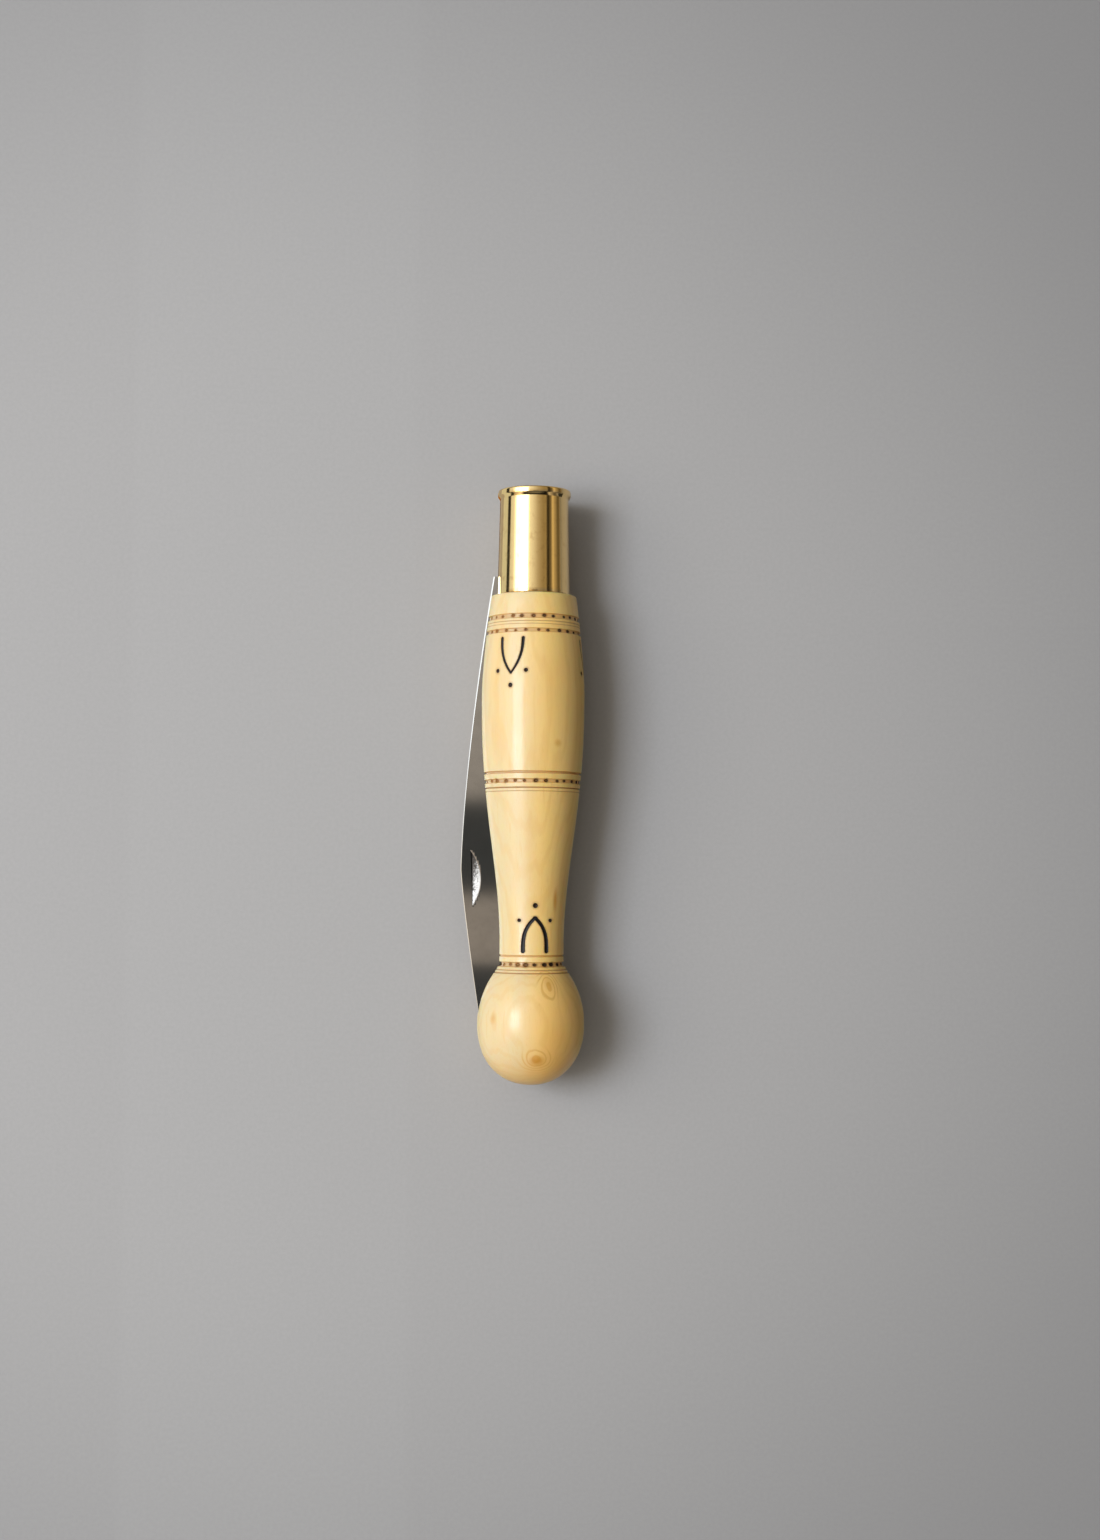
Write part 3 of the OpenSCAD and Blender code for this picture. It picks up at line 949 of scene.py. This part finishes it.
# Knots and small marks of the wood: angle, u, half sizes round and along the handle, how far
# the growth rings bend round them, and how brown they are
knots = [
    (20.0, 99.4, 1.3, 3.1, 3.6, 0.3),
    (5.0, 114.7, 2.0, 1.6, 3.4, 0.7),
    (26.0, 51.9, 1.1, 1.0, 0.3, 0.45),
    (-47.5, 106.5, 1.0, 1.5, 0.3, 0.35),
    (39.0, 83.0, 0.7, 3.2, 0.6, 0.7),
    (150.0, 70.0, 1.2, 2.8, 2.0, 0.3),
    (-140.0, 104.0, 1.6, 2.2, 2.4, 0.4),
]


def knotMasks(place):
    # How far each knot bends the rings, and the brown of all of them, from the distance to
    # its middle in half sizes
    bend, brown = 0.0, 0.0
    for angle, u, wide, long, turn, dark in knots:
        middle = around(bodyAt(u), u, angle)
        scale = (1 / wide, 1 / long, 1 / wide)
        offset = tuple(-float(c) * k for c, k in zip(middle, scale))
        near = length(scaled(place, scale, offset))
        bend = fade(near, 2.4, 0.0) * turn + bend
        brown = most(fade(near, 1.1, 0.1) * dark, brown)
    return bend, brown


def grainGroup(values):
    # Boxwood's colour and a height for its fibres: growth rings round a pith beside the axis, long
    # fine fibres and slow golden patches, with painted light and shade by angle round the handle,
    # pale on the lit left and gold on the right
    tree, given, result = newGroup("boxwoodGrain", "place", "colour fibre")
    place = given["place"]
    slow = noise(place, (0.11, 0.03, 0.11), 3.0)
    wave = noise(place, (0.25, 0.04, 0.25), 2.0, shift=(3, 1, 2))
    bend, brown = knotMasks(place)
    x, y, z = split(scaled(place, (1, 1, 1), (-2.5, 0, 9.0)))
    ring = y * 0.012 + (wave * 2.6 + hypot(x, z)) + bend
    band = calc("SINE", ring * 5.2)
    strong = fade(bend, 0.2, 1.5) * 0.48 + 0.14
    fibre = noise(place, (7.0, 0.35, 7.0), 4.0, 0.6)
    streak = noise(place, (1.6, 0.06, 1.6), 3.0, 0.55, 0.3, (9, 4, 1))
    x, y, z = split(place)
    angle = slow * -0.7 + (angleRound(x, z) + 0.35)
    patch = length(scaled(place, (0.18, 0.09, 0.12), (-0.9, 10.2, -1.2)))
    patch = slow * -0.8 + (patch + 0.4)
    colour = values["pale"]
    for mask, finish in (
            # Painted light and shade: gold on the right of the handle, pale on the lit left, the
            # border moved by slow noise
            (fade(angle, -0.42, 0.32) * fade(angle, 2.6, 1.8), "shadedGold"),
            (fade(slow, 0.42, 0.78, 0.0, 0.5), "dark"),
            (fade(patch, 1.5, 0.1, 0.0, 0.5), "amber"),
            (fade(band, 0.1, 1.0) * strong, "vein"),
            (fade(fibre, 0.5, 0.78, 0.0, 0.2), "vein"),
            (fade(streak, 0.58, 0.78, 0.0, 0.25), "vein"),
            (fade(y * -1.0, 112.0, 121.0, 0.0, 0.6), "amber"),
            (brown, "knot")):
        colour = tint(mask, colour, values[finish])
    wire(result["colour"], colour)
    wire(result["fibre"], fibre)
    return tree


def grooveColour(colour, u, values):
    # Brown in the grooves, darker in the narrow lines, and warm lips on the wide ones
    for centre, width, _ in grooves:
        away = abs(u - centre)
        narrow = width < 0.4
        inside = fade(away, width / 2 + 0.05, max(width / 2 - 0.14, 0.0))
        colour = tint(inside * (0.75 if narrow else 0.36), colour, values["scorch"])
        if not narrow:
            lip = abs(away - (width / 2 - 0.04))
            colour = tint(fade(lip, 0.1, 0.02, 0.0, 0.5), colour, values["knot"])
    return colour


def shoulderShadeMask(radius, u):
    # Painted shade on the shoulder, in the gap beside the ferrule
    ringOut, shoulder = turningR(form["neckLen"]), form["neckLen"]
    return (fade(radius, ringOut + 0.22, ringOut + 0.05)
            * fade(u, shoulder + 0.3, shoulder + 0.15) * 0.85)


def boxwoodMaterial(values):
    material, tree, sockets = newMaterial("boxwood")
    place = objectPlace(tree)
    x, y, z = split(place)
    u = y * -1.0
    angle = angleRound(x, z) * (180 / math.pi)
    radius = hypot(x, z)
    where = {"angle": angle, "radius": radius, "u": u}
    grain = useGroup(grainGroup(values), place=place)
    colour = grooveColour(grain["colour"], u, values)
    # Painted shade darkens the shoulder beside the ferrule
    colour = tint(shoulderShadeMask(radius, u), colour, values["dotBrown"])

    # Char of the marks with its brown wash, paler on the lit left and more charred towards the
    # right: painted light and shade by angle round the handle
    marks = markGroup()
    # Painted light and shade: 0 on the lit left of the handle, 1 towards the shaded right
    dark = fade(angle, -55.0, 45.0)
    char = glow = brown = paintedSheen = dots = 0.0
    for row in markRows:
        row = {key: float(value) for key, value in row.items() if key != "depth"}
        found = useGroup(marks, **where, **row)
        reach, tone = found["reach"], found["tone"]
        body = fade(reach, 1.15, 0.85) - fade(reach, 0.55, 0.2) * tone * 0.55
        black = calc("MULTIPLY_ADD", tone, -0.4, dark * 0.75, clamp=True)
        brown = most(body, brown)
        char = most(body * black, char)
        glow = most(fade(reach, 2.0, 0.9), glow)

    # Char of the arches and dots with their scorch, and a painted grey sheen on the strokes on one
    # side of each arch's middle line
    burnt = archGroup()
    for arch in arches.values():
        found = useGroup(burnt, **where, **{key: float(value) for key, value in arch.items()})
        stroke, dot = found["stroke"], found["dots"]
        char = most(char, fade(stroke, 0.05, -0.06))
        dots = most(dots, fade(dot, 0.05, -0.06))
        glow = most(glow, fade(dot, 0.5, 0.0, 0.0, 0.6))
        glow = most(glow, fade(stroke, 0.35, 0.0, 0.0, 0.7))
        # Painted sheen: grey inside the strokes on one side of the arch's middle line
        sheenSide = fade(stroke, -0.08, -0.24) * fade(found["side"], 0.5, -0.5)
        paintedSheen = most(paintedSheen, sheenSide * 0.28)
    blotch = noise(place, 2.2, 3.0, 0.6)
    for mask, over in (
            (glow * fade(blotch, 0.3, 0.7, 0.3, 0.9), values["scorch"]),
            # Painted light and shade: the marks' brown is paler on the lit left than on the right
            (brown, tint(dark, values["litMarkBrown"], values["shadedMarkBrown"])),
            (char, values["char"]),
            (dots, tint(fade(blotch, 0.4, 0.6), values["dotBrown"], values["char"])),
            (paintedSheen, values["sheenGrey"])):
        colour = tint(mask, colour, over)
    rough = blotch * 0.1 + (values["roughness"] - 0.05)
    burntAway = most(most(char, dots), brown)
    coat = (burntAway * -0.34 + 0.38) * fade(angle, -82.0, -52.0, 0.2, 1.0)
    feed(sockets, {
        "Base Color": colour, "Roughness": char * 0.08 + rough,
        "Normal": bump(grain["fibre"], 0.25, 0.00003),
        "Coat Weight": coat, "Coat Roughness": 0.15, "Specular IOR Level": 0.2,
        "Subsurface Weight": values["glow"], "Subsurface Radius": (1.0, 0.5, 0.2),
        "Subsurface Scale": 0.005})
    return material


def makeHandle(values):
    obj = makeObject("handle", handleSkin(values))
    slotCut = makeObject("slotCut", prism(slotOutline(), -values["slotHalf"], values["slotHalf"]))
    pinCut = makeObject("pinCut", barSkin(form["rivetR"], 20))
    strokes = []
    for side in (-1, 1):
        skins = [strokeSkin(arch, turn, side)
                 for arch in arches.values() for turn in archTurns(arch)]
        strokes.append(makeObject("strokes", gather(skins)))
    pits = dotSkins()
    for row in markRows:
        pits += markSkins(row)
    cut(obj, slotCut, *strokes, makeObject("pits", gather(pits)), pinCut)
    paint(obj, boxwoodMaterial(values))
    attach(obj, "grip")
    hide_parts("handle")


makeHandle(handle)
print("handle made")


# Ferrules

brass = {
    "base": rgb(239, 206, 143),
    "polished": 0.11,
    "dull": 0.25,
    "stain": rgb(168, 112, 52),
    "columns": 220,
    "split": 2.5,
    "flangeT": 1.85,
    "flangeOut": 0.45,
    "faceRound": 0.4,
    "rimEnd": 1.17,
    "shoulderGap": 0.2,
    "bead": (15.4, 0.9, 0.25, 0.06),
    "bevel": 0.02,
    "reliefU": 17.3,
    "reliefTurn": 71.0,
}


def brassMaterial(name, values, roughness):
    # Brass with turning marks, faint scratches and brown stains
    material, tree, sockets = newMaterial(name)
    place = objectPlace(tree)
    turned = noise(place, (0.5, 26.0, 0.5), 4.0, 0.6)
    wear = noise(place, (0.5, 0.4, 0.5), 5.0, 0.6)
    scratch = noise(place, (3.0, 0.5, 3.0), 6.0, 0.7, 1.5, (5, 2, 1))
    mark = fade(scratch, 0.62, 0.7)
    stained = fade(wear, 0.52, 0.8, 0.0, 0.35)
    feed(sockets, {"Base Color": tint(stained, values["base"], values["stain"]), "Metallic": 1.0,
                   "Roughness": mark * 0.08 + (wear * 0.1 + (roughness - 0.05)),
                   "Normal": bump(mark * -0.5 + turned, 0.12, 0.00001)})
    return material


def ringProfile(values):
    # Section of the turning ferrule as a loop of (radius, u): rounded face, flange with its
    # sloping underside, wall, softened base edge, and the inner bead in the bore
    flangeT, out = values["flangeT"], values["flangeOut"]
    base = form["neckLen"] - values["shoulderGap"]
    beadU, beadW, beadH, beadGap = values["bead"]
    edge = float(turningR(flangeT)) + out
    soft, rimEnd = values["faceRound"], values["rimEnd"]
    turn = np.radians(np.linspace(0, 90, 13))
    face = np.c_[edge - soft + soft * np.sin(turn), soft * (1 - np.cos(turn))]
    under = np.array([[0.0, 0.0], [0.02, 0.06], [0.07, 0.13], [0.3, 0.44], [0.4, 0.6]])
    flange = np.r_[face, np.c_[edge - under[:, 0], rimEnd + under[:, 1]], [[edge - out, flangeT]]]
    wallU = np.array([flangeT + 0.04, *np.linspace(2.2, base - 1, 16), base - 0.12])
    wall = np.c_[turningR(wallU), wallU]
    soft = np.array([[turningR(base) - 0.03, base - 0.03], [turningR(base) - 0.12, base]])
    a, b = beadU - beadW / 2, beadU + beadW / 2
    inner = np.array([[boreR(base), base], [boreR(b), b], [boreR(b) - beadH, b - beadGap],
                      [boreR(a) - beadH, a + beadGap], [boreR(a), a], [boreR(0.1), 0.1],
                      [boreR(0) + 0.1, 0]])
    return np.concatenate([flange, wall, soft, inner])


def ringSkin(values):
    # Section swept round the axis between the two sides of a parallel split, its ends
    # drawn in a little so that the split's edges are bevelled
    loop = ringProfile(values)
    half = values["split"] / 2
    bevel = values["bevel"]
    sweep = np.linspace(0, 1, values["columns"])
    sweep = np.concatenate([[0, 0.0], sweep, [1, 1]])
    radius = np.repeat(loop[None, :, 0], len(sweep), 0)
    away = np.zeros(len(sweep))
    away[[1, -2]] = bevel
    away[2:-2] = bevel * 1.001
    depth = np.zeros(len(sweep))
    depth[[0, -1]] = bevel
    edge = np.degrees(np.arcsin(half / radius)) + np.degrees(away[:, None] / radius)
    # Angle 270 is the split at -X
    angle = 270 + edge + (360 - 2 * edge) * sweep[:, None]
    wallIn = np.c_[np.where(loop[:, :1] > np.interp(loop[:, 1:], [0, 22], [6.6, 7.2]), -1, 1),
                   np.zeros((len(loop), 1))]
    shape = loop[None] + depth[:, None, None] * wallIn[None]
    return capped(around(shape[..., 0], shape[..., 1], angle))


def makeFerrules(values):
    ring = makeObject("turningFerrule", ringSkin(values), sharp=30)
    turn = np.radians(np.linspace(0, values["reliefTurn"], 30))
    sector = np.concatenate([[[0, 0]], 30 * np.c_[-np.cos(turn), np.sin(turn)]])
    points, faces = prism(sector, -values["reliefU"], -form["neckLen"] - 1)
    cut(ring, makeObject("wedge", (points[:, [0, 2, 1]], faces)), sharp=30)
    paint(ring, brassMaterial("turningBrass", values, values["polished"]))
    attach(ring, "lock_ring")
    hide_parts("turning_ferrule")


makeFerrules(brass)
print("ferrules made")


# Blade: a thin forged-and-ground leaf, edge towards +X and back towards -X

blade = {
    "len": 102.45,
    "halfT": 1.0,
    "tipT": 0.75,
    "shoulderS": 9.1,
    "heelS": 10.5,
    "humpS": 68.45,
    "rootH": 8.2,
    "humpH": 14.36,
    "tipH": 9.7,
    "heelDepth": 4.0,
    "edgeDepth": 4.6,
    "edgeAt": 45.0,
    "tangR": 5.4148,
    "plungeS": 12.5,
    "grindH": 3.5,
    "edgeT": 0.15,
    "tipGrindLen": 18.0,
    "tipDrop": 0.5,
    "tipGrindW": 4.6,
    "chamfer": (0.23, 0.12),
    "chamferTilt": 36.0,
    "nickS": 70.25,
    "nickLen": 11.3,
    "nickW": 1.9,
    "nickDeep": 0.45,
    "nickIn": 2.05,
    "nickLean": 2.5,
    "nickBox": (6.2, -12.8, -9.8, 0.2),
    "polished": 0.05,
    "dull": 0.3,
    "steel": rgb(175, 169, 162),
    "worn": rgb(168, 162, 155),
    "chamferHighlight": rgb(236, 236, 231),
    "nickShade": rgb(60, 56, 52),
    "nickLight": rgb(190, 188, 184),
    "nickWallShadow": rgb(14, 13, 12),
}


def backH(values, s):
    # Height of the blade's back at a distance s from the pivot
    hump, s0 = values["humpH"], values["humpS"]
    rise = np.clip((s0 - s) / (s0 - values["shoulderS"]), 0, 2) ** 1.5
    drop = np.clip((s - s0) / (values["len"] - s0), 0, 1) ** 1.2
    low, far = hump - values["rootH"], hump - values["tipH"]
    return np.where(s < s0, hump - low * rise, hump - far * drop)


def edgeH(values, s):
    # Height of the cutting edge at a distance s from the pivot
    deep, at = values["edgeDepth"], values["edgeAt"]
    heel = np.clip((at - s) / (at - values["heelS"]), 0, 2) ** 2
    sweep = np.clip((s - at) / (values["len"] - at), 0, 1) ** 2.4
    near, far = deep - values["heelDepth"], deep + values["tipH"]
    return np.where(s < at, -deep + near * heel, -deep + far * sweep)


def halfThickness(values, s, h):
    # Half the blade's thickness: the least of the distal taper, the main grind that starts
    # in a soft plunge beside the heel, and the tip's own grind
    halfT, edgeT, tipH, end, plungeS = (
        values[key] for key in ("halfT", "edgeT", "tipH", "len", "plungeS"))
    taper = halfT - (halfT - values["tipT"]) * np.clip((s - plungeS) / (end - plungeS), 0, 1)
    gain = (halfT - edgeT) / (values["edgeDepth"] + values["grindH"])
    ground = edgeT + gain * (h + values["edgeDepth"])
    start = smooth((s - plungeS + 0.2 * np.clip(h + 4.6, 0, 8)) / 1.6)
    main = halfT + (ground - halfT) * start
    low = edgeH(values, np.array(end - values["tipGrindLen"]))
    lean = math.atan((tipH - float(low)) / values["tipGrindLen"])
    away = (h - tipH + values["tipDrop"]) * math.cos(lean) + (end - s) * math.sin(lean)
    tip = edgeT + (halfT - edgeT) / values["tipGrindW"] * away
    return np.maximum(np.minimum(np.minimum(taper, main), tip), 0.03)


def bladeSkin(values):
    # Rows along s and, in each, a loop from the edge over the near side to the back and
    # down the far side; columns crowd at the sharpened edge and at the back's chamfer
    r, x0 = values["tangR"], -form["pivotX"]
    end, root = values["len"], values["shoulderS"]
    tang = -r * np.cos(np.radians(np.linspace(2, 90, 14)))
    s = np.concatenate([tang, np.linspace(1, root - 0.01, 6), [root, 9.8, 10.49],
                        np.linspace(10.5, 16.5, 16), np.linspace(17, end - 0.5, 210),
                        end - np.array([0.3, 0.15, 0.06, 0.0])])
    arc = np.sqrt(np.maximum(r * r - np.minimum(s, 0) ** 2, 0))
    upper = np.where(s < root, x0 + arc, backH(values, s))
    lower = np.where(s < values["heelS"], x0 - arc, edgeH(values, s))
    upper = np.maximum(upper, lower + 0.06)
    span = upper - lower
    near = np.array([0, 0.05, 0.15, 0.34, 0.38, 0.6])
    broad, narrow = values["chamfer"]
    chamfer = (narrow + (broad - narrow) * np.clip((50 - s) / 35, 0, 1))[:, None]
    far = np.concatenate([0.9 + 0 * chamfer, 0.6 + 0 * chamfer, chamfer + 0.03, chamfer,
                          chamfer * 0.4, 0 * chamfer], 1)
    squeeze = np.minimum(1, span / 3.0)[:, None]
    inner = np.linspace(0, 1, 36)[None, 1:-1]
    lowEnd = lower[:, None] + near * squeeze
    highEnd = upper[:, None] - far * squeeze
    last = lowEnd[:, -1:]
    h = np.concatenate([lowEnd, last + (highEnd[:, :1] - last) * inner, highEnd], 1)
    sGrid = np.repeat(s[:, None], h.shape[1], 1)
    t = halfThickness(values, sGrid, h)
    slope = math.tan(math.radians(values["chamferTilt"]))
    t = t - np.clip(chamfer - (upper[:, None] - h), 0, 1) * slope
    fromEdge = h - lower[:, None]
    sharpened = smooth((sGrid - values["plungeS"] + 0.5) / 1.0)
    fine = 0.02 + fromEdge * 0.42
    t = np.where(fromEdge < 0.36, t + (np.minimum(t, fine) - t) * sharpened, t)
    t = np.maximum(t, 0.02)
    x = np.concatenate([-h, -h[:, ::-1]], 1)
    z = np.concatenate([t, -t[:, ::-1]], 1)
    y = np.repeat((-form["pivotU"] - s)[:, None], x.shape[1], 1)
    return tube(np.stack([x, y, z], -1))


def bladeTaper(values):
    # How much half the thickness falls with each millimetre towards the tip
    return (values["halfT"] - values["tipT"]) / (values["len"] - values["plungeS"])


def nickSkin(values):
    # Cut of the nail nick: a coned wheel whose flat side stands beside the back
    nickS, long, wide, deep = (values[key] for key in ("nickS", "nickLen", "nickW", "nickDeep"))
    wheel = (long * long / 4 + deep * deep) / (2 * deep)
    turn = np.radians(np.arange(0, 360, 0.75))
    start = values["nickIn"] - float(backH(values, np.array(nickS)))
    points, faces = tube(np.stack([
        np.stack([np.full(turn.shape, offset), radius * np.cos(turn), radius * np.sin(turn)], -1)
        for offset, radius in ((0.0, wheel), (wide, wheel - deep))]))
    lean = math.radians(values["nickLean"])
    spin = np.array(Matrix.Rotation(lean, 3, "Z"))
    half = values["halfT"] - bladeTaper(values) * (nickS - values["plungeS"])
    middle = np.array([start, -nickS - form["pivotU"], half + wheel - deep])
    return points @ spin.T + middle, faces


def nickMask(values, x, y, z):
    # 1 on the faces of the nail nick: in a box round it and below the blade's near side
    half, left, right, low = values["nickBox"]
    away = abs(y + (values["nickS"] + form["pivotU"]))
    inside = calc("LESS_THAN", away, half)
    for part in (calc("GREATER_THAN", x, left), calc("LESS_THAN", x, right),
                 calc("GREATER_THAN", z, low)):
        inside = inside * part
    taper = bladeTaper(values)
    top = values["halfT"] + taper * (form["pivotU"] + values["plungeS"])
    return inside * fade(y * taper + top - z, 0.01, 0.03)


def steelMaterial(name, values, roughness):
    # Ground steel with fine marks along it, a gritty nick painted with light and shade, and
    # back chamfers painted brighter as a painted highlight
    material, tree, sockets = newMaterial(name)
    place = objectPlace(tree)
    x, y, z = split(place)
    struck = nickMask(values, x, y, z)
    grit = noise(place, 2.6, 4.0, 0.75)
    brush = noise(place, (9.0, 0.25, 9.0), 4.0, 0.6)
    wear = noise(place, 0.35, 5.0, 0.6)
    colour = tint(fade(wear, 0.35, 0.7), values["steel"], values["worn"])
    # Painted light and shade in the nick: dark at the top left, lighter towards the lower right,
    # with a painted shadow along its left wall
    lit = grit * 3.0 + (y * -0.09 + (x * 0.5 - 0.95) - 1.5)
    cast = tint(fade(lit, 0.0, 1.0), values["nickShade"], values["nickLight"])
    cast = tint(fade(x, -12.2, -11.8, 0.95, 0.0), cast, values["nickWallShadow"])
    colour = tint(struck, colour, cast)
    lean = split(Value(tree.nodes.new("ShaderNodeTexCoord").outputs["Normal"]))[0]
    # Painted highlight: faces that lean towards -X, the back chamfers, get a brighter colour
    chamfer = fade(lean, -0.35, -0.5) * fade(lean, -0.9, -0.75)
    feed(sockets, {"Base Color": tint(chamfer, colour, values["chamferHighlight"]), "Metallic": 1.0,
                   "Roughness": struck * 0.38 + (wear * 0.02 + roughness),
                   "Normal": bump(struck * grit * 9.0 + brush, 0.05, 0.00001)})
    return material


def makeBlade(values):
    obj = makeObject("blade", bladeSkin(values), sharp=16)
    nick = makeObject("nick", nickSkin(values))
    hole = makeObject("hole", barSkin(form["rivetR"] + 0.04, 5))
    cut(obj, nick, hole, sharp=16)
    paint(obj, steelMaterial("bladeSteel", values, values["polished"]))
    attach(obj, "folding_blade")
    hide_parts("blade")


makeBlade(blade)
print("blade made")


# The fixed ferrule and the rivet keep their CAD shapes

paint(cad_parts["fixed_ferrule"], brassMaterial("fixedBrass", brass, brass["dull"]))
paint(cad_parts["pivot_rivet"], steelMaterial("rivetSteel", blade, blade["dull"]))
print("finishes set")
